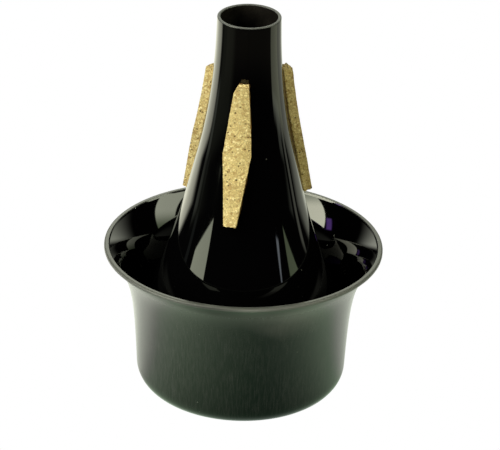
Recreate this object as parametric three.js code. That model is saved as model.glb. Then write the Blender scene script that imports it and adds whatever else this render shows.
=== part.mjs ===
// Trumpet cup mute: a hollow cone whose flared skirt is cemented inside a flared cup, with three
// cork strips round the cone that hold it in a trumpet's bell. Millimetres, +Z up. It stands on
// the cup's foot ring, and the origin is at the middle of that ring, on the table.

import * as THREE from 'three';

const degree = Math.PI / 180;

// Turned pieces
const roundSides = 48; // flat sides round every turned piece, a multiple of four
const arcSteps = 3; // half of the straight steps along each rounded corner of the cone's line
const straightShare = 0.02; // least part of a side that stays straight between two roundings

// Cone: a moulded horn, open at its mouth and at its foot
const overallHeight = 172.5; // from the table to the mouth
const coneWall = 1.4;
const mouthRadius = 13.4; // outside
const neckSpread = 0.93; // by which the neck widens from the mouth down to the taper
const kneeRadius = 28.7; // outside, where the taper's line meets the skirt's
const taperDrop = 35; // from the mouth down to where the taper's line starts
const kneeHeight = 76.1; // from the table to where the taper's line meets the skirt's
const skirtHeight = 34.3; // from the table to where the skirt's line ends, over a short straight foot
const coneFootHeight = 28;
const mouthFlareRound = 270; // rounds the line between mouth and taper
const kneeRound = 115; // rounds the line between taper and skirt
const footRound = 6; // rounds the line between skirt and foot
const mouthEdgeRound = 0.5;

// Cup: a moulded bowl that flares like a bell
const cupHeight = 66.2; // from the table to the top of the lip
const lipRadius = 60; // outside, the widest place of the mute
const cupWall = 2.1;
const cupBodyRadius = 45; // outside, where the wall's line meets the table
const cupLean = 2.7; // how far the wall leans out over the cup's height, without the flare
const flareLength = 10.6; // height in which the flare grows by a factor of e
const bottomRound = 10; // outside round between wall and floor
const wallSteps = 10;
const lipSteps = 6;
const cornerSteps = 4;

// Cup's floor: a panel set up off the table inside a foot ring
const floorRise = 0.8;
const footRingRadius = 32.8; // inside edge of the flat ring that the mute stands on
const gateRadius = 2.2; // stub left in the middle where the moulding was filled
const gateDepth = 0.4;

// Cement ring in the wedge between the cone's straight foot and the cup's leaning wall
const footCementThickness = 0.2; // at the foot, where the wedge is narrowest
const footCementFit = 0.15; // clearance on each side of the cement
const footCementLength = 5;

// Cork strips: long hexagons cut from sheet, bent to the cone and cemented on by hand
const corkThickness = 4.4;
const corkLength = 62; // along the cone's slope
const corkEndWidth = 5.5;
const corkMiddleWidth = 11.8;
const corkDrop = 54.5; // from the mouth down to the middle of a strip
const corkCementThickness = 0.2;
const corkCementFit = 0.15; // clearance on each side of the cement film
const corkCementInset = 0.3; // how far the film stays inside the strip's edge
const corkStepsAlong = 12;
const corkStepsAcross = 4;
const corkPlaces = [
  { side: 'front', azimuth: -10, turn: 4, dropShare: 1 },
  { side: 'right', azimuth: 116, turn: -1, dropShare: 1.02 },
  { side: 'left', azimuth: -126, turn: 1.5, dropShare: 1.07 },
];

const blackPlastic = new THREE.MeshStandardMaterial({ color: 0x0a0b0a, roughness: 0.12, metalness: 0 });
const satinPlastic = new THREE.MeshStandardMaterial({ color: 0x0d110e, roughness: 0.3, metalness: 0 });
const cork = new THREE.MeshStandardMaterial({ color: 0xc4a668, roughness: 0.95, metalness: 0 });
const contactCement = new THREE.MeshStandardMaterial({ color: 0x7a5a2c, roughness: 0.6, metalness: 0 });
const solventCement = new THREE.MeshStandardMaterial({ color: 0x1a1a18, roughness: 0.25, metalness: 0 });

// A turned solid. The line of [radius, height] points runs round the section anticlockwise.
function turned(name, line, material) {
  const geometry = new THREE.LatheGeometry(line, roundSides);
  geometry.rotateX(Math.PI / 2);
  const mesh = new THREE.Mesh(geometry, material);
  mesh.name = name;
  return mesh;
}

function point(radius, height) {
  return new THREE.Vector2(radius, height);
}

// The corners of a parallel line, a distance to the left of the way that they run. The two ends
// stay at their heights.
function shiftedCorners(corners, distance) {
  const last = corners.length - 1;
  return corners.map((corner, i) => {
    const arriving = corner.clone().sub(corners[Math.max(i - 1, 0)]).normalize();
    const leaving = corners[Math.min(i + 1, last)].clone().sub(corner).normalize();
    if (i === 0 || i === last) {
      const along = i === 0 ? leaving : arriving;
      return point(corner.x - distance / along.y, corner.y);
    }
    const middle = arriving.clone().add(leaving).normalize();
    const spread = distance / middle.dot(arriving);
    return point(corner.x - middle.y * spread, corner.y + middle.x * spread);
  });
}

// How far the rounding of each corner wants to reach along its sides. The two ends count as square
// corners, whose rounding is made elsewhere.
function wantedReaches(corners, radii) {
  return corners.map((corner, i) => {
    if (i === 0 || i === corners.length - 1) {
      return radii[i];
    }
    const back = corners[i - 1].clone().sub(corner);
    const ahead = corners[i + 1].clone().sub(corner);
    return radii[i] / Math.tan(back.angleTo(ahead) / 2);
  });
}

// A path through the corners with each inner corner rounded. Two roundings that want more of the
// side between them than there is share it out in proportion.
function roundedPath(corners, radii) {
  const wanted = wantedReaches(corners, radii);
  const roomOnSide = (i) => {
    const room = corners[i].distanceTo(corners[i + 1]) * (1 - straightShare);
    return room / (wanted[i] + wanted[i + 1]);
  };
  const path = new THREE.Path();
  path.moveTo(corners[0].x, corners[0].y);
  for (let i = 1; i < corners.length - 1; i += 1) {
    const back = corners[i - 1].clone().sub(corners[i]);
    const ahead = corners[i + 1].clone().sub(corners[i]);
    const halfAngle = back.angleTo(ahead) / 2;
    const reach = wanted[i] * Math.min(roomOnSide(i - 1), roomOnSide(i), 1);
    const radius = reach * Math.tan(halfAngle);
    const start = corners[i].clone().addScaledVector(back.normalize(), reach);
    const end = corners[i].clone().addScaledVector(ahead.normalize(), reach);
    const inward = back.clone().add(ahead).normalize();
    const centre = corners[i].clone().addScaledVector(inward, radius / Math.sin(halfAngle));
    const startAngle = Math.atan2(start.y - centre.y, start.x - centre.x);
    const endAngle = Math.atan2(end.y - centre.y, end.x - centre.x);
    path.lineTo(start.x, start.y);
    path.absarc(centre.x, centre.y, radius, startAngle, endAngle, back.cross(ahead) > 0);
  }
  const last = corners[corners.length - 1];
  path.lineTo(last.x, last.y);
  return path;
}

// The middle of the cup's wall, from where the bottom corner ends up to the middle of the lip.
class CupWallLine extends THREE.Curve {
  constructor() {
    super();
    this.lip = point(lipRadius - cupWall / 2, cupHeight - cupWall / 2);
    this.slope = cupLean / cupHeight;
    this.flare = this.lip.x - this.straightRadius(this.lip.y);
    const lean = Math.atan(this.slope);
    this.cornerRadius = bottomRound - cupWall / 2;
    this.startHeight = bottomRound - this.cornerRadius * Math.sin(lean);
    this.cornerMiddle = point(
      this.radiusAt(this.startHeight) - this.cornerRadius * Math.cos(lean),
      bottomRound,
    );
    this.cornerSweep = Math.PI / 2 - lean;
  }

  straightRadius(height) {
    return cupBodyRadius - cupWall / 2 + this.slope * height;
  }

  radiusAt(height) {
    return this.straightRadius(height) + this.flare * Math.exp((height - this.lip.y) / flareLength);
  }

  slopeAt(height) {
    return this.slope + (this.flare / flareLength) * Math.exp((height - this.lip.y) / flareLength);
  }

  getPoint(share, target = new THREE.Vector2()) {
    const height = this.startHeight + share * (this.lip.y - this.startHeight);
    return target.set(this.radiusAt(height), height);
  }
}

// Inside radius of the cup's wall at a height above the bottom corner.
function cupBore(height) {
  const wall = new CupWallLine();
  return wall.radiusAt(height) - (cupWall / 2) * Math.hypot(1, wall.slopeAt(height));
}

// Outside radius of the cone's foot, as far down the narrowing cup as the cement lets it go.
function coneFootRadius() {
  return cupBore(coneFootHeight) - footCementThickness - 2 * footCementFit;
}

// The cone's line from foot to mouth, at a depth inside its outer surface.
function coneLine(depth) {
  const corners = [
    point(coneFootRadius(), coneFootHeight),
    point(coneFootRadius(), skirtHeight),
    point(kneeRadius, kneeHeight),
    point(mouthRadius + neckSpread, overallHeight - taperDrop),
    point(mouthRadius, overallHeight),
  ];
  const rounds = [0, footRound - depth, kneeRound + depth, mouthFlareRound + depth, mouthEdgeRound];
  return roundedPath(shiftedCorners(corners, depth), rounds);
}

function coneShell() {
  const outside = coneLine(0).getPoints(arcSteps);
  const inside = coneLine(coneWall).getPoints(arcSteps).reverse();
  const mouthOutside = outside.pop();
  const mouthInside = inside.shift();
  const edge = roundedPath(
    [outside[outside.length - 1], mouthOutside, mouthInside, inside[0]],
    [0, mouthEdgeRound, mouthEdgeRound, 0],
  ).getPoints(1);
  const line = [...outside, ...edge.slice(1, -1), ...inside];
  return turned('cone_shell', [...line, line[0].clone()], blackPlastic);
}

// The cup's wall as places on its middle line, each with the way out of the cup there.
function cupWallPlaces(wall) {
  const places = [];
  for (let i = 0; i < cornerSteps; i += 1) {
    const angle = -Math.PI / 2 + (wall.cornerSweep * i) / cornerSteps;
    const out = point(Math.cos(angle), Math.sin(angle));
    places.push({ at: wall.cornerMiddle.clone().addScaledVector(out, wall.cornerRadius), out });
  }
  for (let i = 0; i <= wallSteps; i += 1) {
    const along = wall.getTangentAt(i / wallSteps);
    places.push({ at: wall.getPointAt(i / wallSteps), out: point(along.y, -along.x) });
  }
  return places;
}

// Half a circle over the end of the wall, from its outer face to its inner one.
function lipRound(lastPlace) {
  const start = Math.atan2(lastPlace.out.y, lastPlace.out.x);
  const points = [];
  for (let i = 1; i < lipSteps; i += 1) {
    const angle = start + (Math.PI * i) / lipSteps;
    const out = point(Math.cos(angle), Math.sin(angle));
    points.push(lastPlace.at.clone().addScaledVector(out, cupWall / 2));
  }
  return points;
}

function cupShell() {
  const places = cupWallPlaces(new CupWallLine());
  const side = (offset) => places.map((place) => place.at.clone().addScaledVector(place.out, offset));
  const underside = [
    point(0, floorRise - gateDepth),
    point(gateRadius, floorRise - gateDepth),
    point(gateRadius, floorRise),
    point(footRingRadius - floorRise, floorRise),
    point(footRingRadius, 0),
  ];
  const panelTop = floorRise + cupWall;
  const floor = [
    point(footRingRadius + floorRise, cupWall),
    point(footRingRadius, panelTop),
    point(0, panelTop),
  ];
  const outside = side(cupWall / 2);
  const inside = side(-cupWall / 2).reverse();
  const lip = lipRound(places[places.length - 1]);
  return turned('cup_shell', [...underside, ...outside, ...lip, ...inside, ...floor], satinPlastic);
}

// A ring that fills the wedge between the cone's straight foot and the cup's leaning wall.
function footCement() {
  const bottom = coneFootHeight + footCementFit;
  const top = bottom + footCementLength;
  const inner = coneFootRadius() + footCementFit;
  const line = [
    point(inner, bottom),
    point(cupBore(bottom) - footCementFit, bottom),
    point(cupBore(top) - footCementFit, top),
    point(inner, top),
    point(inner, bottom),
  ];
  return turned('foot_cement', line, solventCement);
}

// Share of the cone's line, from foot to mouth, at which it reaches a height.
function shareAtHeight(path, height) {
  let low = 0;
  let high = 1;
  const halvings = 40;
  for (let i = 0; i < halvings; i += 1) {
    const middle = (low + high) / 2;
    if (path.getPoint(middle).y < height) {
      low = middle;
    } else {
      high = middle;
    }
  }
  return low;
}

// A hexagonal layer bent round the cone, between two depths measured out from its surface. The
// inset draws its edges in on all sides.
function bentLayer(name, place, innerDepth, thickness, inset, material) {
  const path = coneLine(0);
  const pathLength = path.getLength();
  const middle = shareAtHeight(path, overallHeight - corkDrop * place.dropShare);
  const neutralDepth = innerDepth + thickness / 2;
  const box = new THREE.BoxGeometry(1, 1, 1, corkStepsAcross, corkStepsAlong, 1);
  const corners = box.getAttribute('position');
  for (let i = 0; i < corners.count; i += 1) {
    const along = corners.getY(i) * (corkLength - 2 * inset);
    const fullWidth = THREE.MathUtils.mapLinear(
      Math.abs(along), 0, corkLength / 2, corkMiddleWidth, corkEndWidth,
    );
    const across = corners.getX(i) * (fullWidth - 2 * inset);
    const depth = innerDepth + (corners.getZ(i) + 1 / 2) * thickness;
    const share = middle + along / pathLength;
    const foot = path.getPoint(share);
    const slope = path.getTangent(share);
    const radius = foot.x + slope.y * depth;
    const height = foot.y - slope.x * depth;
    const azimuth = (place.azimuth + (place.turn * along) / corkLength) * degree
      + across / (foot.x + neutralDepth);
    corners.setXYZ(i, radius * Math.sin(azimuth), -radius * Math.cos(azimuth), height);
  }
  const mesh = new THREE.Mesh(box, material);
  mesh.name = name;
  return mesh;
}

function corkStrip(place) {
  const innerDepth = corkCementThickness + 2 * corkCementFit;
  return bentLayer(`cork_strip_${place.side}`, place, innerDepth, corkThickness, 0, cork);
}

function corkCement(place) {
  return bentLayer(
    `cork_cement_${place.side}`, place, corkCementFit, corkCementThickness, corkCementInset, contactCement,
  );
}

const mute = new THREE.Group();
mute.add(cupShell());
mute.add(footCement());
mute.add(coneShell());
for (const place of corkPlaces) {
  mute.add(corkCement(place));
  mute.add(corkStrip(place));
}

export default mute;
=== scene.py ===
# Trumpet cup mute, finished: a black moulded cone in a bell-shaped cup, with three cork strips
# cemented round the cone. Metres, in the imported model's frame, with the origin under the cup.

import math

import bpy
from mathutils import Matrix, Vector


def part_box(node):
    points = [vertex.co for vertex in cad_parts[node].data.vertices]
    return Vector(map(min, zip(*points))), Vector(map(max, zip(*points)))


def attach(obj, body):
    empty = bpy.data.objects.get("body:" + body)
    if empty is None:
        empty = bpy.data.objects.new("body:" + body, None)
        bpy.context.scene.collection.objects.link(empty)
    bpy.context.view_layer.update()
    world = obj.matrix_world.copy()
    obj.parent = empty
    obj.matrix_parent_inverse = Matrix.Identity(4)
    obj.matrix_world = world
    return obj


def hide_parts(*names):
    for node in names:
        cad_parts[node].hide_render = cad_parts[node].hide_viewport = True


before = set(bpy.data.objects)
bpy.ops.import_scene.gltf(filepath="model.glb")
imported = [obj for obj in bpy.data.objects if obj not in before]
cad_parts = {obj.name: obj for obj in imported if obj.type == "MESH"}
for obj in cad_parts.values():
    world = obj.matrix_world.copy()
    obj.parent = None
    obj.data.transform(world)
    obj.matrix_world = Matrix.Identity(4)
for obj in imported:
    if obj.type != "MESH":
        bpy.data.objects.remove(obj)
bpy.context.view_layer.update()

mm = 0.001
degree = math.pi / 180

# Heights and radii that the frame gives
cone_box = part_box("cone_shell")
cup_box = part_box("cup_shell")
mute_height = cone_box[1][2]
foot_height = cone_box[0][2]
foot_radius = cone_box[1][0]
cup_height = cup_box[1][2]
lip_radius = cup_box[1][0]

# Turned shells
steps_around = 256
line_step = 1.3 * mm  # longest step along a section's line
fold_step = 7 * degree  # largest turn of a section's line at one point
shortest_step = 1e-7  # metres, below which two points of a line are one
merge_distance = 0.002 * mm  # welds a shell's seams and its points on the axis

# Cone
cone_wall = 1.4 * mm
mouth_radius = 13.4 * mm
neck_spread = 0.93 * mm  # by which the neck widens from the mouth down to the taper
taper_drop = 35 * mm
knee_radius = 28.7 * mm
knee_height = 76.1 * mm
skirt_height = 34.3 * mm
mouth_flare_round = 270 * mm
knee_round = 260 * mm
foot_round = 6 * mm
mouth_edge_round = 0.5 * mm
foot_edge_round = 0.3 * mm

# Cup
cup_wall = 2.1 * mm
cup_body_radius = 45 * mm
cup_lean = 2.7 * mm
cup_flare = 12.35 * mm  # by which the lip flares out from the leaning wall
flare_length = 10.6 * mm
lip_face = 1.9 * mm  # width of the flat face to which the lip is trimmed
lip_side = 1.4 * mm  # height of the lip's upright trimmed side
lip_edge_round = 0.25 * mm
lip_inner_round = 0.12 * mm
lip_shoulder_round = 0.8 * mm  # outer edge of the lip's face
bottom_round = 10 * mm
floor_rise = 0.8 * mm
foot_ring_radius = 32.8 * mm
foot_ring_edge = 0.4 * mm
gate_radius = 2.2 * mm
gate_depth = 0.4 * mm
gate_edge = 0.15 * mm
cup_side_steps = 60

# Ring of cement at the cone's foot, with a little air round it
ring_height = 5 * mm
ring_lift = 0.15 * mm
ring_gap = 0.1 * mm
ring_sag = 0.5 * mm
ring_steps = 8

# Cork strips, at the same places as in the solids, each trimmed in its own way
cork_thickness = 4.4 * mm
cork_length = 62 * mm
cork_middle_width = 11.8 * mm
cork_end_width = 5.5 * mm
cork_drop = 54.5 * mm  # from the mouth down to the strip's middle
cork_seat = 0.5 * mm  # from the cone to the strip's underside
cork_mesh_step = 0.27 * mm
cork_crisp_fold = 0.9  # radians, above which an edge of the sheet is shaded sharp
granule_size = 0.9 * mm
film_seat = 0.04 * mm
film_thickness = 0.4 * mm
film_waver = 0.35 * mm
film_steps = (24, 120, 3)  # across, along and through the film
cork_places = [
    {
        "side": "front", "azimuth": -10, "turn": 4, "drop_share": 1,
        "top_width": 6 * mm, "foot_width": 5.6 * mm, "shortened": 0.6 * mm,
        "trim": 1.0 * mm, "cut": 0.6 * mm, "seed": 3,
    },
    {
        "side": "right", "azimuth": 116, "turn": -1, "drop_share": 1.02,
        "top_width": 6 * mm, "foot_width": cork_end_width, "shortened": 1.4 * mm,
        "trim": 0.6 * mm, "cut": 0, "seed": 11,
    },
    {
        "side": "left", "azimuth": -126, "turn": 1.5, "drop_share": 1.07,
        "top_width": 6 * mm, "foot_width": cork_end_width, "shortened": 0.3 * mm,
        "trim": 0.9 * mm, "cut": 0, "seed": 23,
    },
]

# Camera, found by fitting the lip, the mouth and the strips to the photograph
image_width = 500
camera_focus = Vector((2.58 * mm, 0, 75.1 * mm))
camera_distance = 1393 * mm
camera_elevation = 26.8 * degree
camera_roll = 1.55 * degree
focal_pixels = 3243.5
sensor_width = 36.0

# Table top
table_radius = 190 * mm
table_drop = 0.02 * mm  # keeps its face clear of the foot ring's
table_steps = 96

# Dark room, and its lamps: name, azimuth and elevation in degrees, watts and colour
unlit_room = (0.004, 0.003, 0.004)
white = (1.0, 1.0, 1.0)
lamp_distance = 1000 * mm
lamp_size = 500 * mm
lamps = [
    ("front lamp", -40, 50, 3.7, white),
    ("right lamp", 50, 20, 2.4, (1.0, 0.97, 0.6)),
    ("left lamp", -60, 35, 1.3, white),
]

# Noises
middle_grey = (0.5, 0.5, 0.5)  # a noise's mean colour
noise_reach = 3.0  # brings a noise, which keeps near its mean, up to about its named size

# Colours of the finishes
polished_black = (0.0006, 0.0006, 0.0007)
breath_film = (0.018, 0.016, 0.013)
cone_rim_grey = (0.07, 0.072, 0.07)
cup_rim_grey = (0.06, 0.062, 0.057)
cone_dust = (0.2, 0.2, 0.19)
cup_dust = (0.5, 0.5, 0.48)
# tint of the grey bloom, which is partly a painted highlight
bloom_and_highlight_tint = (1.11, 0.92, 1.04)  # set against the green that the plastic mirrors
lip_tint = (1.0, 0.99, 0.98)
seam_brown = (0.30, 0.20, 0.08)
pit_brown = (0.085, 0.05, 0.02)
# cork's underside: soaked cement, and painted shadow where the strip sits on the cone
soaked_and_shadow_brown = (0.06, 0.035, 0.012)
cork_tans = [
    (0.0, (0.40, 0.26, 0.10)),
    (0.18, (0.56, 0.41, 0.175)),
    (0.55, (0.65, 0.505, 0.225)),
    (0.85, (0.73, 0.585, 0.275)),
    (1.0, (0.82, 0.69, 0.37)),
]
amber_browns = [(0.3, (0.05, 0.022, 0.006)), (0.7, (0.21, 0.115, 0.035))]
set_blacks = [(0.3, (0.002, 0.002, 0.002)), (0.7, (0.012, 0.012, 0.011))]


# Node helpers

def new_group(name, kind, inputs, outputs):
    """A node tree with named sockets. An input comes with its first value, or only its type."""
    tree = bpy.data.node_groups.new(name, kind)
    for label, value in inputs.items():
        socket_type = {int: "Int", float: "Float"}.get(type(value), value)
        socket = tree.interface.new_socket(label, in_out="INPUT", socket_type=f"NodeSocket{socket_type}")
        if socket_type != value:
            socket.default_value = value
    for label, socket_type in outputs.items():
        tree.interface.new_socket(label, in_out="OUTPUT", socket_type=f"NodeSocket{socket_type}")
    return tree


def add(tree, kind, sockets=None, **options):
    """Adds a node, sets its options, and fills or links the sockets that are given."""
    made = tree.nodes.new(kind)
    for option, value in options.items():
        setattr(made, option, value)
    for key, value in (sockets or {}).items():
        if isinstance(value, bpy.types.NodeSocket):
            tree.links.new(value, made.inputs[key])
        else:
            made.inputs[key].default_value = value
    return made


def maths(tree, operation, *values):
    """The result of a Math node on one, two or three numbers."""
    sockets = dict(enumerate(values))
    return add(tree, "ShaderNodeMath", sockets, operation=operation).outputs[0]


def vectors(tree, operation, *values):
    """The vector that a Vector Math node makes of one, two or three vectors."""
    sockets = dict(enumerate(values))
    return add(tree, "ShaderNodeVectorMath", sockets, operation=operation).outputs[0]


def dot(tree, first, second):
    """The dot product of two vectors."""
    made = add(tree, "ShaderNodeVectorMath", {0: first, 1: second}, operation="DOT_PRODUCT")
    return made.outputs["Value"]


def scaled(tree, vector, factor):
    """A vector times a number."""
    sockets = {0: vector, "Scale": factor}
    return add(tree, "ShaderNodeVectorMath", sockets, operation="SCALE").outputs[0]


def raised(tree, value, *pairs):
    """A value raised by the product of each pair."""
    for first, second in pairs:
        value = maths(tree, "MULTIPLY_ADD", first, second, value)
    return value


def product(tree, first, *others):
    """The product of several values."""
    for each in others:
        first = maths(tree, "MULTIPLY", first, each)
    return first


def noise(tree, place, scale, detail, **others):
    """A noise texture's outputs."""
    sockets = {"Vector": place, "Scale": scale, "Detail": detail, **others}
    return add(tree, "ShaderNodeTexNoise", sockets).outputs


def voronoi(tree, place, scale, feature="F1"):
    """The outputs of a texture of cells."""
    return add(tree, "ShaderNodeTexVoronoi", {"Vector": place, "Scale": scale}, feature=feature).outputs


def split(tree, vector):
    """The three parts of a vector."""
    return add(tree, "ShaderNodeSeparateXYZ", {0: vector}).outputs


def joined(tree, x, y, z):
    """A vector from its three parts."""
    return add(tree, "ShaderNodeCombineXYZ", {0: x, 1: y, 2: z}).outputs[0]


def between(tree, value, start, end, low=0.0, high=1.0, smooth=False):
    """A value between start and end, as a number that goes from low to high."""
    sockets = {"Value": value, "From Min": start, "From Max": end, "To Min": low, "To Max": high}
    steps = "SMOOTHSTEP" if smooth else "LINEAR"
    return add(tree, "ShaderNodeMapRange", sockets, interpolation_type=steps).outputs["Result"]


def ramp(tree, factor, stops):
    """A colour ramp through the stops, each a place from 0 to 1 and a colour."""
    made = add(tree, "ShaderNodeValToRGB", {"Fac": factor})
    elements = made.color_ramp.elements
    while len(elements) < len(stops):
        elements.new(1.0)
    for element, (place, colour) in zip(elements, stops):
        element.position = place
        element.color = (*colour, 1.0)
    return made.outputs["Color"]


def mixed(tree, factor, first, second):
    """Two colours mixed by a factor."""
    first, second = [(*each, 1.0) if isinstance(each, tuple) else each for each in (first, second)]
    return add(tree, "ShaderNodeMix", {0: factor, 6: first, 7: second}, data_type="RGBA").outputs[2]


def use_group(tree, group, sockets):
    """Places a node group with its own values."""
    kind = "GeometryNodeGroup" if tree.type == "GEOMETRY" else "ShaderNodeGroup"
    return add(tree, kind, sockets, node_tree=group).outputs


def finish_shape(tree, geometry, material):
    """Ends a shape's tree with plain geometry that has its material."""
    real = add(tree, "GeometryNodeRealizeInstances", {"Geometry": geometry})
    finish = {"Geometry": real.outputs[0], "Material": material}
    coated = add(tree, "GeometryNodeSetMaterial", finish)
    add(tree, "NodeGroupOutput", {0: coated.outputs[0]})


# Section lines, as lists of (radius, height) points

def arc(centre, radius, start, sweep):
    """Points along an arc, ends included, in steps that suit the turn and the length."""
    steps = max(2, math.ceil(abs(sweep) / fold_step), math.ceil(abs(sweep) * radius / line_step))
    angles = [start + sweep * i / steps for i in range(steps + 1)]
    return [(centre[0] + radius * math.cos(a), centre[1] + radius * math.sin(a)) for a in angles]


def rounded_line(corners, rounds):
    """The line through the corners with each inner corner rounded to its own radius."""
    points = [tuple(corners[0])]
    for before, corner, after, radius in zip(corners, corners[1:], corners[2:], rounds):
        back = (Vector(before) - Vector(corner)).normalized()
        ahead = (Vector(after) - Vector(corner)).normalized()
        half = back.angle(ahead) / 2
        inward = (back + ahead).normalized()
        centre = Vector(corner) + inward * radius / math.sin(half)
        start = Vector(corner) + back * radius / math.tan(half) - centre
        sweep = (math.pi - 2 * half) * math.copysign(1, ahead.cross(back))
        points += arc(centre, radius, math.atan2(start.y, start.x), sweep)
    points.append(tuple(corners[-1]))
    return points


def divided(points):
    """The same line with its long steps divided, so that the shading stays even."""
    fine = [points[0]]
    for start, end in zip(points, points[1:]):
        length = math.dist(start, end)
        steps = max(1, math.ceil(length / line_step))
        if length < shortest_step:
            continue
        for i in range(1, steps + 1):
            share = i / steps
            fine.append(tuple(a + (b - a) * share for a, b in zip(start, end)))
    return fine


def cone_corners(depth):
    """Corners of the cone's line from its foot up to its mouth, at a depth inside the surface."""
    corners = [
        Vector((foot_radius, foot_height)),
        Vector((foot_radius, skirt_height)),
        Vector((knee_radius, knee_height)),
        Vector((mouth_radius + neck_spread, mute_height - taper_drop)),
        Vector((mouth_radius, mute_height)),
    ]
    shifted = []
    for i, corner in enumerate(corners):
        arriving = (corner - corners[max(i - 1, 0)]).normalized()
        leaving = (corners[min(i + 1, len(corners) - 1)] - corner).normalized()
        middle = (arriving + leaving).normalized()
        spread = depth / max(middle.dot(arriving), middle.dot(leaving))
        shifted.append(corner + Vector((-middle.y, middle.x)) * spread)
    return shifted


def cone_section():
    """The closed line round the cone's wall, anticlockwise."""
    outside = cone_corners(0)
    inside = cone_corners(cone_wall)[::-1]
    middle = (outside[0] + inside[-1]) / 2
    corners = [middle, *outside, *inside, middle]
    rounds = [
        foot_edge_round, foot_round, knee_round, mouth_flare_round, mouth_edge_round,
        mouth_edge_round, mouth_flare_round + cone_wall, knee_round + cone_wall,
        foot_round - cone_wall, foot_edge_round,
    ]
    return divided(rounded_line(corners, rounds))


def cup_flare_share(height):
    """Share of the lip's flare that the cup's wall has at a height. It fades quickly downwards."""
    return math.exp((height - cup_height + cup_wall / 2) / flare_length)


def cup_half_wall(height):
    """Half of the cup's wall, measured level, which grows as the wall leans out."""
    slope = cup_lean / cup_height + cup_flare / flare_length * cup_flare_share(height)
    return cup_wall / 2 * math.hypot(1, slope)


def cup_middle(height):
    """Radius of the middle of the cup's wall at a height."""
    straight = cup_body_radius - cup_wall / 2 + cup_lean * height / cup_height
    return straight + cup_flare * cup_flare_share(height)


def cup_bore(height):
    """Radius of the cup's inside at a height."""
    return cup_middle(height) - cup_half_wall(height)


def cup_outside(height):
    """Radius of the cup's outside at a height below its trimmed rim."""
    return cup_middle(height) + cup_half_wall(height)


def cup_side(radius_at, bottom, top):
    """A wall's line from the bottom corner up to the lip, with its points closer towards the lip."""
    shares = [1 - i / cup_side_steps for i in range(cup_side_steps + 1)]
    heights = [top - (top - bottom) * share ** 1.5 for share in shares]
    return [(radius_at(height), height) for height in heights]


def cup_section():
    """The cup's line from the middle of its underside, round the wall, to the middle of its floor."""
    lean = math.atan(cup_lean / cup_height)
    corner_turn = math.pi / 2 - lean
    inner_round = bottom_round - cup_wall
    outer_bottom = bottom_round * (1 - math.sin(lean))
    inner_bottom = bottom_round - inner_round * math.sin(lean)
    corner_radius = cup_outside(outer_bottom) - bottom_round * math.cos(lean)
    inner_corner_radius = cup_bore(inner_bottom) - inner_round * math.cos(lean)
    panel_top = floor_rise + cup_wall
    underside = rounded_line([
        (0, floor_rise - gate_depth),
        (gate_radius, floor_rise - gate_depth),
        (gate_radius, floor_rise),
        (foot_ring_radius - floor_rise, floor_rise),
        (foot_ring_radius, 0),
        (corner_radius, 0),
    ], [gate_edge, gate_edge, foot_ring_edge, foot_ring_edge])
    outer_corner = arc((corner_radius, bottom_round), bottom_round, -math.pi / 2, corner_turn)
    outside = cup_side(cup_outside, outer_bottom, cup_height - lip_side - 3 * lip_edge_round)
    inside = cup_side(cup_bore, inner_bottom, cup_height - 3 * lip_edge_round)[::-1]
    lip = rounded_line([
        outside[-1],
        (lip_radius, cup_height - lip_side),
        (lip_radius, cup_height),
        (lip_radius - lip_face, cup_height),
        inside[0],
    ], [lip_edge_round, lip_shoulder_round, lip_inner_round])
    inner_corner = arc((inner_corner_radius, bottom_round), inner_round, -lean, -corner_turn)
    floor = rounded_line([
        (inner_corner_radius, cup_wall),
        (foot_ring_radius + floor_rise, cup_wall),
        (foot_ring_radius, panel_top),
        (0, panel_top),
    ], [foot_ring_edge, foot_ring_edge])
    wall = [*outside[1:], *lip[1:-1], *inside]
    return divided([*underside, *outer_corner[1:], *wall, *inner_corner[1:], *floor[1:]])


def cement_section():
    """The ring of cement between the cone's foot and the cup, with a hollow top."""
    bottom = foot_height + ring_lift
    top = bottom + ring_height
    inner = foot_radius + ring_gap
    outer_bottom = cup_bore(bottom) - ring_gap
    outer_top = cup_bore(top) - ring_gap
    hollow = []
    for i in range(ring_steps + 1):
        share = i / ring_steps
        radius = outer_top + (inner - outer_top) * share
        hollow.append((radius, top - ring_sag * math.sin(math.pi * share)))
    return divided([(inner, bottom), (outer_bottom, bottom), *hollow, (inner, bottom)])


# Shapes

def line_object(name, points):
    """A mesh object that holds a section's line, as points in the plane of X and Z."""
    mesh = bpy.data.meshes.new(name)
    edges = [(i, i + 1) for i in range(len(points) - 1)]
    mesh.from_pydata([(radius, 0, height) for radius, height in points], edges, [])
    piece = bpy.data.objects.new(name, mesh)
    bpy.context.scene.collection.objects.link(piece)
    return piece


def shaped(piece, tree, **inputs):
    """Runs a geometry node tree on a piece with its named inputs, and keeps the plain mesh."""
    modifier = piece.modifiers.new(tree.name, "NODES")
    modifier.node_group = tree
    labels = {label.replace("_", " "): value for label, value in inputs.items()}
    for socket in tree.interface.items_tree:
        if socket.item_type == "SOCKET" and socket.in_out == "INPUT" and socket.name.lower() in labels:
            modifier[socket.identifier] = labels[socket.name.lower()]
    graph = bpy.context.evaluated_depsgraph_get()
    finished = bpy.data.meshes.new_from_object(piece.evaluated_get(graph))
    piece.modifiers.clear()
    piece.data = finished
    return piece


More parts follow.
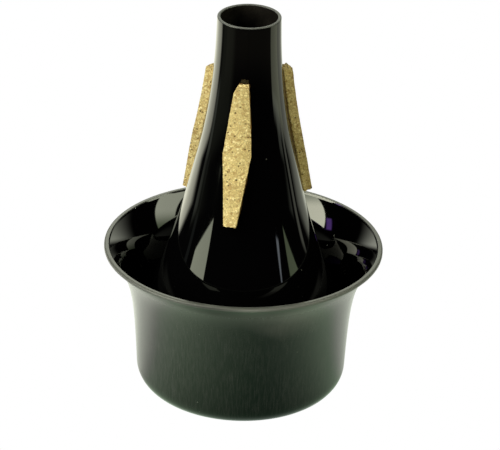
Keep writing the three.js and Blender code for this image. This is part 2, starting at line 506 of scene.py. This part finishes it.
def turned_shell_tree():
    """Turns a section's line round the upright axis into a closed shell."""
    tree = new_group("turned shell", "GeometryNodeTree", {
        "Section Line": "Geometry",
        "Steps Around": steps_around,
        "Finish": "Material",
    }, {"Shell": "Geometry"})
    given = add(tree, "NodeGroupInput").outputs
    size = add(tree, "GeometryNodeAttributeDomainSize", {0: given["Section Line"]})
    count = size.outputs["Point Count"]
    columns = maths(tree, "ADD", given["Steps Around"], 1)
    grid = add(tree, "GeometryNodeMeshGrid", {"Vertices X": columns, "Vertices Y": count})
    place = split(tree, add(tree, "GeometryNodeInputPosition").outputs[0])
    angle = product(tree, maths(tree, "ADD", place[0], 0.5), 2 * math.pi)
    last = maths(tree, "SUBTRACT", count, 1)
    index = maths(tree, "ROUND", product(tree, maths(tree, "ADD", place[1], 0.5), last))
    sample = add(
        tree, "GeometryNodeSampleIndex",
        {"Geometry": given["Section Line"], "Index": index}, data_type="FLOAT_VECTOR",
    )
    tree.links.new(add(tree, "GeometryNodeInputPosition").outputs[0], sample.inputs["Value"])
    on_line = split(tree, sample.outputs[0])
    across = product(tree, on_line[0], maths(tree, "SINE", angle))
    forward = product(tree, on_line[0], maths(tree, "COSINE", angle))
    turned_place = joined(tree, across, product(tree, forward, -1), on_line[2])
    placing = {"Geometry": grid.outputs[0], "Position": turned_place}
    moved = add(tree, "GeometryNodeSetPosition", placing)
    closing = {"Geometry": moved.outputs[0], "Distance": merge_distance}
    merged = add(tree, "GeometryNodeMergeByDistance", closing)
    smooth = add(tree, "GeometryNodeSetShadeSmooth", {"Geometry": merged.outputs[0]})
    finish_shape(tree, smooth.outputs[0], given["Finish"])
    return tree


def cork_grain_group(kind):
    """Granules, seams and pits of pressed cork at a place in the flat sheet, in metres."""
    tree = new_group("cork grain", kind, {
        "Sheet Place": "Vector",
        "Granule Size": granule_size,
    }, {"Tone": "Float", "Seam": "Float", "Pit": "Float"})
    given = add(tree, "NodeGroupInput").outputs
    wobble = vectors(tree, "SUBTRACT", noise(tree, given[0], 900.0, 2.0)["Color"], middle_grey)
    place = vectors(tree, "ADD", given[0], scaled(tree, wobble, 0.6 * mm))
    frequency = maths(tree, "DIVIDE", 1.0, given[1])
    tone = split(tree, voronoi(tree, place, frequency)["Color"])[0]
    edges = voronoi(tree, place, frequency, feature="DISTANCE_TO_EDGE")
    seam = between(tree, edges["Distance"], 0.0, 0.13, 1.0, 0.0, smooth=True)
    pits = voronoi(tree, place, product(tree, frequency, 0.62))
    chance = split(tree, pits["Color"])[1]
    hole = between(tree, pits["Distance"], 0.16, 0.34, 1.0, 0.0, smooth=True)
    pit = product(tree, hole, maths(tree, "GREATER_THAN", chance, 0.72))
    add(tree, "NodeGroupOutput", {0: tone, 1: seam, 2: pit})
    return tree


def bent_layer_tree():
    """Bends a flat hexagon of sheet round the cone. Its own geometry is the cone's outside line."""
    tree = new_group("layer bent round the cone", "GeometryNodeTree", {
        "Cone Line": "Geometry",
        "Middle": 0.0,
        "Azimuth": 0.0,
        "Turn": 0.0,
        "Length": cork_length,
        "Top Width": cork_end_width,
        "Foot Width": cork_end_width,
        "Middle Width": cork_middle_width,
        "Seat": cork_seat,
        "Thickness": cork_thickness,
        "Corner Trim": 0.0,
        "Left Cut": 0.0,
        "Shortened": 0.0,
        "Edge Waver": 0.1 * mm,
        "End Crumble": 0.4 * mm,
        "Relief": 0.12 * mm,
        "Seed": 0.0,
        "Across Steps": 40,
        "Along Steps": 200,
        "Depth Steps": 14,
        "Finish": "Material",
    }, {"Layer": "Geometry"})
    given = add(tree, "NodeGroupInput").outputs
    block = add(tree, "GeometryNodeMeshCube", {
        "Size": (1, 1, 1),
        "Vertices X": given["Across Steps"],
        "Vertices Y": given["Along Steps"],
        "Vertices Z": given["Depth Steps"],
    })
    share = split(tree, add(tree, "GeometryNodeInputPosition").outputs[0])
    along = product(tree, share[1], given["Length"])
    distance = maths(tree, "ABSOLUTE", along)
    half_length = product(tree, given["Length"], 0.5)
    upper = maths(tree, "GREATER_THAN", along, 0.0)
    end_width = between(tree, upper, 0.0, 1.0, given["Foot Width"], given["Top Width"])
    width = between(tree, distance, 0.0, half_length, given["Middle Width"], end_width)
    across = product(tree, share[0], width)
    depth = product(tree, maths(tree, "ADD", share[2], 0.5), given["Thickness"])

    # The upper end may be shorter, its left corner trimmed and the whole left side cut back
    climb = between(tree, along, 0.0, half_length)
    along = maths(tree, "SUBTRACT", along, product(tree, climb, given["Shortened"]))
    near_top = between(tree, climb, 0.9, 1.0)
    left = between(tree, share[0], 0.5, -0.5)
    trim = raised(tree, given["Left Cut"], (near_top, given["Corner Trim"]))
    across = raised(tree, across, (left, trim))
    flat = joined(tree, across, along, depth)
    seeded = vectors(tree, "ADD", flat, joined(tree, given["Seed"], 0.0, 0.0))

    # Both ends crumble, and the whole layer wavers a little
    near_end = between(tree, distance, product(tree, half_length, 0.96), half_length)
    crumbs = maths(tree, "SUBTRACT", noise(tree, seeded, 1000.0, 2.0)["Fac"], 0.5)
    crumble = product(tree, crumbs, given["End Crumble"], product(tree, near_end, noise_reach))
    frayed = joined(tree, 0.0, crumble, 0.0)
    waver = vectors(tree, "SUBTRACT", noise(tree, seeded, 190.0, 3.0)["Color"], middle_grey)
    waver = scaled(tree, waver, product(tree, given["Edge Waver"], noise_reach))
    wavered = vectors(tree, "ADD", vectors(tree, "ADD", flat, frayed), waver)

    # The line along the cone gives the foot of each point and the slope there
    line = add(tree, "GeometryNodeMeshToCurve", {"Mesh": given["Cone Line"]})
    place = split(tree, wavered)
    length_along = maths(tree, "ADD", given["Middle"], place[1])
    foot = add(
        tree, "GeometryNodeSampleCurve",
        {"Curves": line.outputs[0], "Length": length_along}, mode="LENGTH", use_all_curves=True,
    )
    start = split(tree, foot.outputs["Position"])
    slope = split(tree, foot.outputs["Tangent"])
    lift = maths(tree, "ADD", place[2], given["Seat"])
    radius = raised(tree, start[0], (slope[2], lift))
    height = maths(tree, "SUBTRACT", start[2], product(tree, slope[0], lift))
    neutral = raised(tree, given["Seat"], (given["Thickness"], 0.5))
    swing = maths(tree, "DIVIDE", place[0], maths(tree, "ADD", start[0], neutral))
    turn = product(tree, given["Turn"], maths(tree, "DIVIDE", place[1], given["Length"]))
    azimuth = maths(tree, "ADD", maths(tree, "ADD", given["Azimuth"], turn), swing)
    side = product(tree, radius, maths(tree, "SINE", azimuth))
    front = product(tree, radius, maths(tree, "COSINE", azimuth))
    bent = joined(tree, side, product(tree, front, -1), height)

    stored = add(
        tree, "GeometryNodeStoreNamedAttribute",
        {"Geometry": block.outputs["Mesh"], "Name": "sheet_place", "Value": seeded},
        data_type="FLOAT_VECTOR", domain="POINT",
    )
    moved = add(tree, "GeometryNodeSetPosition", {"Geometry": stored.outputs[0], "Position": bent})

    # Pits, seams and darker granules sink in, at the edges too, and sharp folds are shaded sharp
    sheet = add(
        tree, "GeometryNodeInputNamedAttribute", {"Name": "sheet_place"}, data_type="FLOAT_VECTOR",
    )
    grain = use_group(tree, cork_grain_group("GeometryNodeTree"), {"Sheet Place": sheet.outputs[0]})
    lighter = maths(tree, "SUBTRACT", grain["Tone"], 0.5)
    sink = raised(tree, grain["Pit"], (grain["Seam"], 0.35), (lighter, -0.35))
    sink = product(tree, sink, product(tree, given["Relief"], -1))
    facing = add(tree, "GeometryNodeInputNormal").outputs[0]
    dented = add(
        tree, "GeometryNodeSetPosition",
        {"Geometry": moved.outputs[0], "Offset": scaled(tree, facing, sink)},
    )
    fold = add(tree, "GeometryNodeInputMeshEdgeAngle").outputs["Unsigned Angle"]
    smooth = add(tree, "GeometryNodeSetShadeSmooth", {"Geometry": dented.outputs[0]})
    crisp = add(
        tree, "GeometryNodeSetShadeSmooth",
        {
            "Geometry": smooth.outputs[0],
            "Selection": maths(tree, "GREATER_THAN", fold, cork_crisp_fold),
            "Shade Smooth": False,
        },
        domain="EDGE",
    )
    finish_shape(tree, crisp.outputs[0], given["Finish"])
    return tree


# Materials

def new_material(name):
    """A material with only its shader and output, and its tree and shader to fill."""
    material = bpy.data.materials.new(name)
    material.use_nodes = True
    tree = material.node_tree
    tree.nodes.clear()
    shader = add(tree, "ShaderNodeBsdfPrincipled")
    add(tree, "ShaderNodeOutputMaterial", {"Surface": shader.outputs[0]})
    return material, tree, shader


def coat(tree, shader, colour, rough):
    """Gives a shader its colour and roughness."""
    tree.links.new(colour, shader.inputs["Base Color"])
    tree.links.new(rough, shader.inputs["Roughness"])


def emboss(tree, shader, height, strength, distance):
    """Gives a shader the relief of a height."""
    sockets = {"Strength": strength, "Distance": distance, "Height": height}
    tree.links.new(add(tree, "ShaderNodeBump", sockets).outputs[0], shader.inputs["Normal"])


def plastic_wear_group():
    """Hair scratches, settled dust and a cloudy haze on moulded plastic."""
    tree = new_group("plastic wear", "ShaderNodeTree", {
        "Place": "Vector",
        "Scratch Size": 14 * mm,
        "Dust Size": 5 * mm,
        "Dust Share": 0.1,
    }, {"Scratch": "Float", "Dust": "Float", "Haze": "Float"})
    given = add(tree, "NodeGroupInput").outputs
    scratch_frequency = maths(tree, "DIVIDE", 1.0, given["Scratch Size"])
    stretched = vectors(tree, "MULTIPLY", given["Place"], (1.0, 1.0, 0.25))
    drift = noise(tree, stretched, scratch_frequency, 1.0)["Color"]
    bent = vectors(tree, "ADD", stretched, scaled(tree, drift, 4 * mm))
    cells = voronoi(tree, bent, scratch_frequency, feature="DISTANCE_TO_EDGE")
    scratch = between(tree, cells["Distance"], 0.0, 0.006, 1.0, 0.0)
    specks = voronoi(tree, given["Place"], maths(tree, "DIVIDE", 1.0, given["Dust Size"]))
    near = between(tree, specks["Distance"], 0.03, 0.07, 1.0, 0.0, smooth=True)
    chance = maths(tree, "LESS_THAN", split(tree, specks["Color"])[2], given["Dust Share"])
    dust = product(tree, near, chance)
    haze = noise(tree, given["Place"], 45.0, 5.0)["Fac"]
    add(tree, "NodeGroupOutput", {0: scratch, 1: dust, 2: haze})
    return tree


def shell_place(tree):
    """A place on a turned shell, its height, its direction from the axis, and how far its face turns
    that way."""
    coordinates = add(tree, "ShaderNodeTexCoord").outputs
    place = coordinates["Object"]
    parts = split(tree, place)
    around = vectors(tree, "NORMALIZE", joined(tree, parts[0], parts[1], 0.0))
    return place, parts[2], around, dot(tree, coordinates["Normal"], around)


def trimmed_edge(tree, height, rim_height):
    """Share of a rim's trimmed face, which is matt and grey, at a height."""
    return between(tree, height, rim_height - 0.5 * mm, rim_height - 0.2 * mm, smooth=True)


def cone_plastic(wear):
    """Deep black moulding, polished, with a few specks of dust and a grey trimmed rim."""
    material, tree, shader = new_material("cone plastic")
    place, height, _, facing = shell_place(tree)
    worn = use_group(tree, wear, {"Place": place, "Dust Share": 0.03})
    trimmed = trimmed_edge(tree, height, mute_height)
    film_depth = 30 * mm  # how far down the bore breath has left its film
    film = product(
        tree,
        between(tree, facing, 0.0, -0.5, smooth=True),
        between(tree, height, mute_height - film_depth, mute_height - film_depth / 3, smooth=True),
        between(tree, worn["Haze"], 0.4, 0.7),
    )
    colour = mixed(tree, film, polished_black, breath_film)
    colour = mixed(tree, trimmed, colour, cone_rim_grey)
    colour = mixed(tree, product(tree, worn["Dust"], 0.4), colour, cone_dust)
    rough = between(tree, worn["Haze"], 0.3, 0.7, 0.02, 0.05)
    rough = raised(tree, rough, (worn["Scratch"], 0.03), (trimmed, 0.4), (film, 0.2))
    rough = raised(tree, rough, (worn["Dust"], 0.4))
    coat(tree, shader, colour, rough)
    emboss(tree, shader, worn["Dust"], 0.15, 0.01 * mm)
    return material


def painted_highlight_patch(tree, depth, rightward):
    """Share of a painted highlight, a lighter patch under the lip to the right of the front. It reaches
    down to 15 mm at its left and 23 mm at its right, and fades out over its lowest 12 mm."""
    reach = between(tree, rightward, 0.0, 0.35, 15 * mm, 23 * mm)
    return product(
        tree,
        between(tree, depth, reach, maths(tree, "SUBTRACT", reach, 12 * mm)),
        between(tree, rightward, -0.24, 0.08, smooth=True),
        between(tree, rightward, 0.8, 0.3, smooth=True),
    )


def cup_bloom_and_highlight(tree, bloom_and_highlight, around):
    """Lightness of the grey bloom, partly a whitish haze and partly a painted highlight, up to a limit
    that is lower straight ahead as painted shade on the front.
    """
    shade = raised(tree, product(tree, bloom_and_highlight, 0.07), (maths(tree, "POWER", bloom_and_highlight, 3.5), 0.3))
    ahead = product(tree, split(tree, around)[1], -1)
    # Straight ahead the limit is lower: painted shade on the front of the flare
    return maths(tree, "MINIMUM", shade, between(tree, ahead, 0.88, 0.98, 0.085, 0.055))


def cup_plastic(wear):
    """Black moulding, polished inside. Outside it is satin, with upright draw marks, a grey bloom that
    grows towards the trimmed lip, partly a whitish haze and partly a painted highlight, and a painted
    highlight patch."""
    material, tree, shader = new_material("cup plastic")
    place, height, around, facing = shell_place(tree)
    worn = use_group(tree, wear, {"Place": place, "Scratch Size": 20 * mm, "Dust Share": 0.2})
    outside = between(tree, facing, 0.0, 0.3, smooth=True)
    trimmed = trimmed_edge(tree, height, cup_height)
    mottle = between(tree, worn["Haze"], 0.25, 0.75, 0.5, 1.5)
    depth = maths(tree, "SUBTRACT", cup_height, height)
    # The grey bloom fades down from the lip; it is partly a whitish haze and partly a painted highlight
    # on the flare
    fading = maths(tree, "EXPONENT", maths(tree, "DIVIDE", depth, -flare_length))
    bloom_and_highlight = product(tree, fading, outside)

    # Draw marks run up the wall, in a noise that is squeezed round it, and fade under the lip
    drawn = vectors(tree, "ADD", around, joined(tree, 0.0, 0.0, product(tree, height, 2.4)))
    marks = noise(tree, drawn, 70.0, 4.0, Roughness=0.7)["Fac"]
    lower = between(tree, fading, 0.15, 0.4, 1.0, 0.25)
    mark = product(tree, between(tree, marks, 0.42, 0.75), outside, lower)

    highlight_patch = product(tree, painted_highlight_patch(tree, depth, split(tree, around)[0]), outside, mottle)
    shade = maths(tree, "ADD", cup_bloom_and_highlight(tree, bloom_and_highlight, around), 0.0003)
    # The painted highlight patch lightens the shade, and so do the draw marks
    shade = raised(tree, shade, (highlight_patch, 0.085), (product(tree, mark, mottle), 0.018))
    tint = mixed(tree, between(tree, fading, 0.5, 0.85), bloom_and_highlight_tint, lip_tint)
    colour = vectors(tree, "MULTIPLY", joined(tree, shade, shade, shade), tint)
    colour = mixed(tree, trimmed, colour, cup_rim_grey)
    dust = product(tree, worn["Dust"], between(tree, outside, 0.0, 1.0, 0.9, 0.15))
    rough = raised(
        tree, between(tree, outside, 0.0, 1.0, 0.035, 0.12),
        (mark, 0.08), (worn["Scratch"], 0.03), (bloom_and_highlight, 0.3), (trimmed, 0.1), (dust, 0.4),
    )
    coat(tree, shader, mixed(tree, dust, colour, cup_dust), rough)
    emboss(tree, shader, mark, 0.3, 0.01 * mm)
    return material


def cork():
    """Pressed cork: tan granules with brown seams and dark pits."""
    material, tree, shader = new_material("cork")
    place = add(tree, "ShaderNodeAttribute", attribute_name="sheet_place").outputs["Vector"]
    grain = use_group(tree, cork_grain_group("ShaderNodeTree"), {"Sheet Place": place})
    granule = ramp(tree, grain["Tone"], cork_tans)
    fine = noise(tree, place, 1900.0, 4.0)["Fac"]
    mottle = between(tree, fine, 0.3, 0.7, 0.76, 1.18)
    colour = vectors(tree, "MULTIPLY", granule, joined(tree, mottle, mottle, mottle))
    colour = mixed(tree, product(tree, grain["Seam"], 0.5), colour, seam_brown)
    colour = mixed(tree, product(tree, grain["Pit"], 0.85), colour, pit_brown)

    # The underside is darker: partly cement soaked in unevenly, partly painted shadow where the strip
    # sits on the cone
    depth = raised(tree, split(tree, place)[2], (fine, -1.6 * mm))
    soaked_and_shaded = between(tree, depth, -0.6 * mm, 0.1 * mm, 0.9, 0.0, smooth=True)
    tree.links.new(mixed(tree, soaked_and_shaded, colour, soaked_and_shadow_brown), shader.inputs["Base Color"])
    shader.inputs["Roughness"].default_value = 0.92
    shader.inputs["Specular IOR Level"].default_value = 0.25
    height = raised(tree, grain["Tone"], (fine, 0.6))
    emboss(tree, shader, maths(tree, "SUBTRACT", height, grain["Pit"]), 0.6, 0.15 * mm)
    return material


def contact_cement():
    """Dried amber cement, darker where it is thick."""
    material, tree, shader = new_material("contact cement")
    place = add(tree, "ShaderNodeTexCoord").outputs["Object"]
    smear = noise(tree, place, 420.0, 4.0)["Fac"]
    coat(tree, shader, ramp(tree, smear, amber_browns), between(tree, smear, 0.3, 0.7, 0.3, 0.6))
    emboss(tree, shader, smear, 0.5, 0.1 * mm)
    return material


def solvent_cement():
    """Black cement that has run and set, glossy with small bubbles."""
    material, tree, shader = new_material("solvent cement")
    place = add(tree, "ShaderNodeTexCoord").outputs["Object"]
    run = noise(tree, place, 300.0, 3.0)["Fac"]
    coat(tree, shader, ramp(tree, run, set_blacks), between(tree, run, 0.3, 0.7, 0.12, 0.3))
    bubbles = voronoi(tree, place, 900.0)["Distance"]
    emboss(tree, shader, raised(tree, run, (bubbles, 0.3)), 0.6, 0.2 * mm)
    return material


# Pieces

def turned_piece(name, section, tree, finish):
    """A shell turned from a section's line."""
    return shaped(line_object(name, section), tree, steps_around=steps_around, finish=finish)


def make_cone(tree, finish):
    """The horn-shaped cone, open at its mouth."""
    piece = turned_piece("cone", cone_section(), tree, finish)
    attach(piece, "root")
    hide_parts("cone_shell")


def make_cup(tree, finish):
    """The cup, with its flared lip."""
    piece = turned_piece("cup", cup_section(), tree, finish)
    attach(piece, "root")
    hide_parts("cup_shell")


def make_foot_cement(tree, finish):
    """The ring of cement that holds the cone in the cup."""
    piece = turned_piece("foot_cement_ring", cement_section(), tree, finish)
    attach(piece, "root")
    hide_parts("foot_cement")


def outside_line():
    """The cone's outside line from foot to mouth."""
    rounds = [foot_round, knee_round, mouth_flare_round]
    return divided(rounded_line(cone_corners(0), rounds))


def length_at_height(line, height):
    """Length along a rising line at which it reaches a height."""
    walked = 0.0
    for start, end in zip(line, line[1:]):
        if end[1] >= height:
            share = (height - start[1]) / (end[1] - start[1])
            return walked + share * math.dist(start, end)
        walked += math.dist(start, end)
    return walked


def bent_piece(name, place, tree, finish, **own):
    """A layer of sheet bent round the cone at a strip's place, with inputs of its own."""
    line = outside_line()
    return shaped(
        line_object(name, line), tree,
        middle=length_at_height(line, mute_height - cork_drop * place["drop_share"]),
        azimuth=place["azimuth"] * degree,
        turn=place["turn"] * degree,
        top_width=place["top_width"],
        foot_width=place["foot_width"],
        shortened=place["shortened"],
        corner_trim=place["trim"],
        left_cut=place["cut"],
        finish=finish,
        **own,
    )


def make_strip(place, tree, finish):
    """A cork strip, in a mesh fine enough for its grain."""
    piece = bent_piece(
        "cork_" + place["side"], place, tree, finish,
        seed=place["seed"] * 0.1,
        across_steps=math.ceil(cork_middle_width / cork_mesh_step),
        along_steps=math.ceil(cork_length / cork_mesh_step),
        depth_steps=math.ceil(cork_thickness / cork_mesh_step),
    )
    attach(piece, "root")
    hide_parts("cork_strip_" + place["side"])


def make_film(place, tree, finish):
    """The film of cement under a strip, with an edge that wavers more than the cork's."""
    piece = bent_piece(
        "cement_film_" + place["side"], place, tree, finish,
        seat=film_seat,
        thickness=film_thickness,
        edge_waver=film_waver,
        relief=0.0,
        seed=place["seed"] * 0.1 + 0.05,
        across_steps=film_steps[0],
        along_steps=film_steps[1],
        depth_steps=film_steps[2],
    )
    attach(piece, "root")
    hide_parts("cork_cement_" + place["side"])


# Surroundings

def light_panel_group():
    """How much light a soft-edged panel sends from a direction. The azimuth is counted from straight
    ahead towards the panel's own side. The lower edge climbs by the tilt away from the near edge,
    and the far edge moves out by the lean as it climbs."""
    tree = new_group("light panel", "ShaderNodeTree", {
        "Azimuth": 0.0,
        "Elevation": 0.0,
        "Near Edge": 0.0,
        "Far Edge": 0.0,
        "Lean": 0.0,
        "Low": 0.0,
        "High": 0.0,
        "Tilt": 0.0,
        "Side Softness": 1.0,
        "Rise Softness": 1.0,
    }, {"Amount": "Float"})
    given = add(tree, "NodeGroupInput").outputs

    def past(value, limit, softness):
        half = product(tree, given[softness], 0.5)
        start = maths(tree, "SUBTRACT", limit, half)
        return between(tree, value, start, maths(tree, "ADD", limit, half), smooth=True)

    far_edge = raised(tree, given["Far Edge"], (given["Lean"], given["Elevation"]))
    beyond = maths(tree, "MAXIMUM", maths(tree, "SUBTRACT", given["Azimuth"], given["Near Edge"]), 0.0)
    low = raised(tree, given["Low"], (beyond, given["Tilt"]))
    near = past(given["Azimuth"], given["Near Edge"], "Side Softness")
    width = maths(tree, "SUBTRACT", near, past(given["Azimuth"], far_edge, "Side Softness"))
    bottom = past(given["Elevation"], low, "Rise Softness")
    height = maths(tree, "SUBTRACT", bottom, past(given["Elevation"], given["High"], "Rise Softness"))
    inside = product(tree, maths(tree, "MAXIMUM", width, 0.0), maths(tree, "MAXIMUM", height, 0.0))
    add(tree, "NodeGroupOutput", {0: inside})
    return tree


def panel(side, span, rise, softness, light, lean=0.0, tilt=0.0):
    """A panel of light: its side, azimuths and elevations in degrees, how soft it is across and
    upwards, its light and how its edges slant."""
    sockets = {
        "Near Edge": span[0],
        "Far Edge": span[1],
        "Low": rise[0],
        "High": rise[1],
        "Side Softness": softness[0],
        "Rise Softness": softness[1],
        "Lean": lean,
        "Tilt": tilt,
    }
    return side, light, sockets


# The studio's lights, recovered from their mirror images in the plastic. Side -1 is the mute's left
# and 1 its right, as the camera sees it. Side 0 is the same on both.
light_panels = [
    # Softboxes, brighter higher up
    panel(-1, (57, 81.2), (-2.6, 75), (1.0, 0.5), (4.2, 4.45, 3.35), lean=0.14, tilt=0.065),
    panel(-1, (57, 81.2), (14, 51), (1.0, 18), (6.2, 6.0, 4.8), lean=0.14),
    panel(1, (71.8, 88.3), (-3.3, 75), (1.2, 0.6), (1.1, 1.35, 0.8), lean=0.22, tilt=0.235),
    panel(1, (71.8, 88.3), (24, 75), (1.2, 24), (4.2, 4.2, 3.5), lean=0.22),
    # Window gap and a violet lamp
    panel(1, (56.2, 60.4), (0.1, 8), (1.4, 1), (2.0, 2.2, 2.4), lean=-0.4),
    panel(-1, (86.4, 92.4), (15.5, 29.5), (2.5, 2.5), (1.1, 0.5, 2.4)),
    # White sheet behind
    panel(-1, (137, 190), (6, 33), (24, 5), (1.75, 1.8, 1.5)),
    panel(1, (135, 190), (5, 33), (30, 6), (1.35, 1.4, 1.15)),
    # White sheet below, beyond the table top
    panel(-1, (110, 158), (-91, -13), (9, 3), (2.1, 2.1, 1.68)),
    panel(-1, (158, 190), (-91, -13), (9, 3), (1.4, 1.4, 1.14)),
    panel(1, (83.5, 118), (-91, -14), (4, 3), (0.95, 1.0, 0.72)),
    panel(1, (118, 190), (-91, -13), (4, 4), (0.56, 0.58, 0.47)),
    panel(1, (150, 190), (-91, -10), (12, 4), (0.35, 0.36, 0.3)),
    panel(1, (84, 106), (-15, -12.2), (4, 2.5), (0.58, 0.62, 0.5)),
    panel(1, (91.5, 101), (-13, -9), (3, 2.5), (0.42, 0.45, 0.36)),
    panel(1, (107, 113), (-14, -7), (3, 2), (0.6, 0.62, 0.5)),
    panel(-1, (91.5, 97), (-8, 2), (2, 2), (0.09, 0.1, 0.09)),
    panel(-1, (98, 106), (-17, -9), (3, 3), (0.34, 0.37, 0.3)),
    panel(-1, (52, 100), (-91, -8), (20, 6), (0.11, 0.12, 0.085)),
    panel(0, (-1, 83), (-91, -17), (8, 8), (0.06, 0.055, 0.04)),
]


def white_to_camera(tree, lit, plain):
    """A shader that lights the object, and shows the camera its plain one."""
    seen = add(tree, "ShaderNodeLightPath").outputs["Is Camera Ray"]
    sockets = {0: seen, 1: lit.outputs[0], 2: plain.outputs[0]}
    return add(tree, "ShaderNodeMixShader", sockets).outputs[0]


def make_surroundings():
    """Dark room with panels of light. The camera itself sees plain white."""
    world = bpy.data.worlds.new("studio")
    bpy.context.scene.world = world
    world.use_nodes = True
    tree = world.node_tree
    tree.nodes.clear()
    direction = split(tree, add(tree, "ShaderNodeTexCoord").outputs["Generated"])
    backward = product(tree, direction[1], -1)
    rightward = maths(tree, "DEGREES", maths(tree, "ARCTAN2", direction[0], backward))
    azimuths = {
        1: rightward,
        -1: product(tree, rightward, -1),
        0: maths(tree, "ABSOLUTE", rightward),
    }
    elevation = maths(tree, "DEGREES", maths(tree, "ARCSINE", direction[2]))
    group = light_panel_group()
    total = joined(tree, *unlit_room)
    for side, light, sockets in light_panels:
        sockets = {**sockets, "Azimuth": azimuths[side], "Elevation": elevation}
        amount = use_group(tree, group, sockets)["Amount"]
        total = vectors(tree, "ADD", total, scaled(tree, light, amount))
    room = add(tree, "ShaderNodeBackground", {"Color": total})
    backdrop = add(tree, "ShaderNodeBackground", {"Color": (*white, 1.0)})
    chosen = white_to_camera(tree, room, backdrop)
    add(tree, "ShaderNodeOutputWorld", {"Surface": chosen})


def make_lamp(name, azimuth, elevation, watts, colour):
    """A large soft lamp that lights the matt surfaces and isn't mirrored in the polished ones."""
    lamp = bpy.data.lights.new(name, "AREA")
    lamp.shape = "SQUARE"
    lamp.size = lamp_size
    lamp.energy = watts
    lamp.color = colour
    across = math.cos(elevation * degree)
    outward = Vector((
        math.sin(azimuth * degree) * across,
        -math.cos(azimuth * degree) * across,
        math.sin(elevation * degree),
    ))
    held = bpy.data.objects.new(name, lamp)
    turned = outward.to_track_quat("Z", "Y").to_matrix().to_4x4()
    held.matrix_world = Matrix.Translation(outward * lamp_distance) @ turned
    held.visible_glossy = False
    held.visible_camera = False
    bpy.context.scene.collection.objects.link(held)


def table_glow(tree):
    """The light that the table top shows in the plastic, by direction and distance from its middle.
    It is dimmest near the front, rises to a highest level at each side and again behind, and is
    greenish, least so behind. Its numbers were fitted to the photograph."""
    place = split(tree, add(tree, "ShaderNodeTexCoord").outputs["Object"])
    flat = joined(tree, place[0], place[1], 0.0)
    outward = vectors(tree, "NORMALIZE", flat)
    darkest = 15 * degree  # azimuth of the dimmest part, to the right of straight ahead
    ahead = dot(tree, outward, (math.sin(darkest), -math.cos(darkest), 0.0))
    beside = dot(tree, outward, (math.cos(darkest), math.sin(darkest), 0.0))
    to_right = between(tree, beside, -0.3, 0.3, smooth=True)

    def by_side(left, right):
        return between(tree, to_right, 0.0, 1.0, left, right)

    turned_away = maths(tree, "SUBTRACT", 1.0, ahead)
    rise = maths(tree, "DIVIDE", turned_away, maths(tree, "ADD", turned_away, 0.594))
    level = maths(tree, "MINIMUM", raised(tree, 0.19, (rise, 1.09)), by_side(0.84, 0.66))
    behind = by_side(1.02, 0.6)
    far = between(tree, turned_away, behind, maths(tree, "ADD", behind, 0.3))
    level = raised(tree, level, (far, by_side(0.4, 0.26)))

    off_middle = maths(tree, "SUBTRACT", ahead, 0.5)
    green = raised(tree, 0.28, (product(tree, off_middle, off_middle), -0.45))
    green = product(tree, green, by_side(1.0, 0.8), raised(tree, 1.0, (far, -0.75)))
    green = maths(tree, "ADD", level, maths(tree, "MAXIMUM", green, 0.06))
    glow = joined(tree, level, green, raised(tree, 0.05, (level, 0.86)))

    length = add(tree, "ShaderNodeVectorMath", {0: flat}, operation="LENGTH").outputs["Value"]
    outer = between(tree, length, 44 * mm, 88 * mm, 0.66, 1.14)
    contact = between(tree, length, 46 * mm, 40 * mm, 0.0, 0.32)
    return vectors(tree, "ADD", scaled(tree, glow, outer), joined(tree, contact, contact, contact))


def table_top():
    """White table that shows its own dim light in the plastic. From below it is clear, so that the
    mute's underside can be seen."""
    material = bpy.data.materials.new("table top")
    material.use_nodes = True
    tree = material.node_tree
    tree.nodes.clear()
    lit = add(tree, "ShaderNodeEmission", {"Color": table_glow(tree)})
    plain = add(tree, "ShaderNodeEmission", {"Color": (*white, 1.0)})
    chosen = white_to_camera(tree, lit, plain)
    from_below = add(tree, "ShaderNodeNewGeometry").outputs["Backfacing"]
    clear = add(tree, "ShaderNodeBsdfTransparent")
    faced = add(tree, "ShaderNodeMixShader", {0: from_below, 1: chosen, 2: clear.outputs[0]})
    add(tree, "ShaderNodeOutputMaterial", {"Surface": faced.outputs[0]})
    return material


def make_table():
    """A round white table top just under the mute."""
    mesh = bpy.data.meshes.new("table")
    turns = [2 * math.pi * i / table_steps for i in range(table_steps)]
    rim = [(table_radius * math.cos(a), table_radius * math.sin(a), -table_drop) for a in turns]
    mesh.from_pydata(rim, [], [list(range(table_steps))])
    mesh.materials.append(table_top())
    table = bpy.data.objects.new("table", mesh)
    bpy.context.scene.collection.objects.link(table)


def make_camera():
    """The photograph's view, with its slight tilt."""
    back = Vector((0, -math.cos(camera_elevation), math.sin(camera_elevation)))
    level = Vector((1, 0, 0))
    upright = back.cross(level)
    right = level * math.cos(camera_roll) + upright * math.sin(camera_roll)
    up = upright * math.cos(camera_roll) - level * math.sin(camera_roll)
    frame_of_view = Matrix((right, up, back)).transposed().to_4x4()
    frame_of_view.translation = camera_focus + back * camera_distance
    lens = bpy.data.cameras.new("camera")
    lens.sensor_width = sensor_width
    lens.lens = focal_pixels * sensor_width / image_width
    lens.clip_start = 50 * mm
    camera = bpy.data.objects.new("camera", lens)
    camera.matrix_world = frame_of_view
    bpy.context.scene.collection.objects.link(camera)
    bpy.context.scene.camera = camera


def main():
    bpy.context.scene.view_settings.view_transform = "Standard"
    shell_tree = turned_shell_tree()
    layer_tree = bent_layer_tree()
    wear = plastic_wear_group()
    make_cone(shell_tree, cone_plastic(wear))
    make_cup(shell_tree, cup_plastic(wear))
    make_foot_cement(shell_tree, solvent_cement())
    cork_finish = cork()
    cement_finish = contact_cement()
    for place in cork_places:
        make_strip(place, layer_tree, cork_finish)
        make_film(place, layer_tree, cement_finish)
    make_surroundings()
    for lamp in lamps:
        make_lamp(*lamp)
    make_table()
    make_camera()


main()
